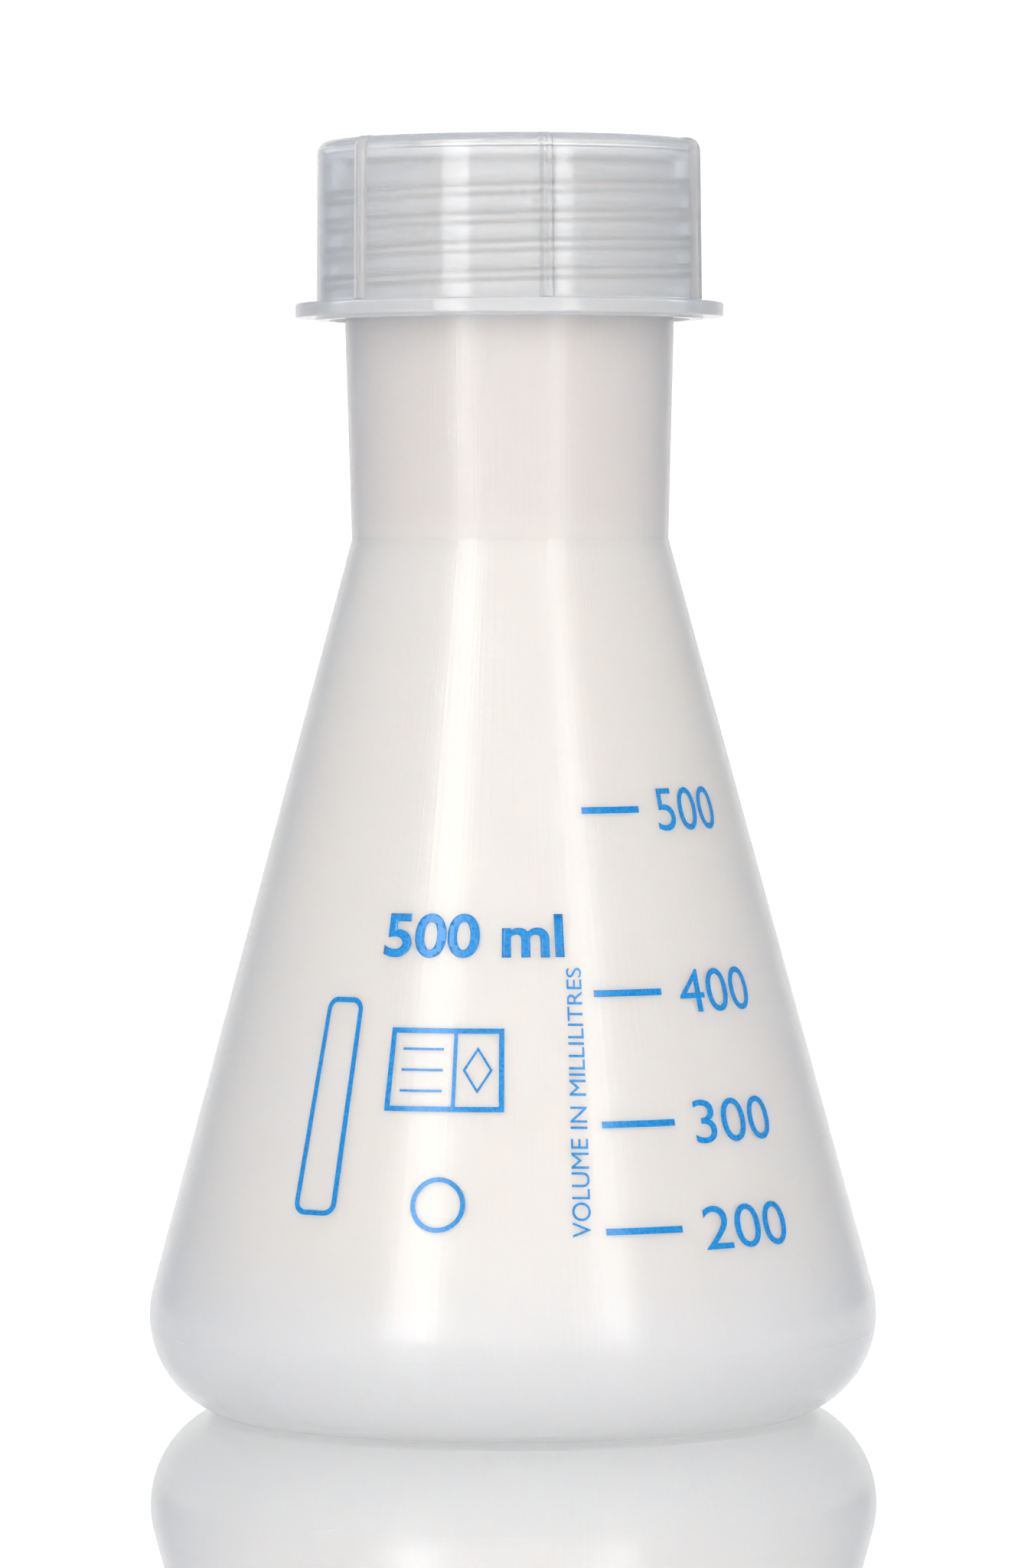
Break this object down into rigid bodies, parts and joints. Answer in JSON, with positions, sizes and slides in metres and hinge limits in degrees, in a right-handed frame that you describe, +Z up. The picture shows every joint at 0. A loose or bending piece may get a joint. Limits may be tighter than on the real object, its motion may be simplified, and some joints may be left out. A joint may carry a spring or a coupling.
{
  "type": "erlenmeyer flask with screw cap",
  "caption": "Conical laboratory flask in translucent plastic with a wide threaded neck, a ribbed and flanged screw cap and a sealing disc under it.",
  "frame": {"origin": "centre of the standing ring, on the surface the flask stands on", "axes": "+Z up along the flask's axis, -Y towards the printed scale"},
  "size_m": [0.1046, 0.1046, 0.182],
  "materials": {
    "flask": "translucent natural polypropylene, satin moulded surface",
    "seal": "milky low-density polyethylene, soft matt",
    "cap": "translucent natural polypropylene, slightly cooler and denser than the flask",
    "ink": "screen-printed blue ink, thin and slightly uneven"
  },
  "bodies": {
    "flask": {"flask_body": "flask"},
    "seal": {"sealing_disc": "seal"},
    "cap": {"screw_cap": "cap"}
  },
  "joints": [
    {"name": "cap_lift", "type": "slide", "parent": "flask", "child": "seal", "axis": [0, 0, 1], "range_m": [0, 0.028]},
    {"name": "cap_turn", "type": "hinge", "parent": "seal", "child": "cap", "pos_m": [0, 0, 0.17], "axis": [0, 0, 1], "range_deg": [0, 2520]}
  ],
  "couplings": [
    {"joint": "cap_lift", "follows": "cap_turn", "m_per_rad": 0.00063662}
  ]
}
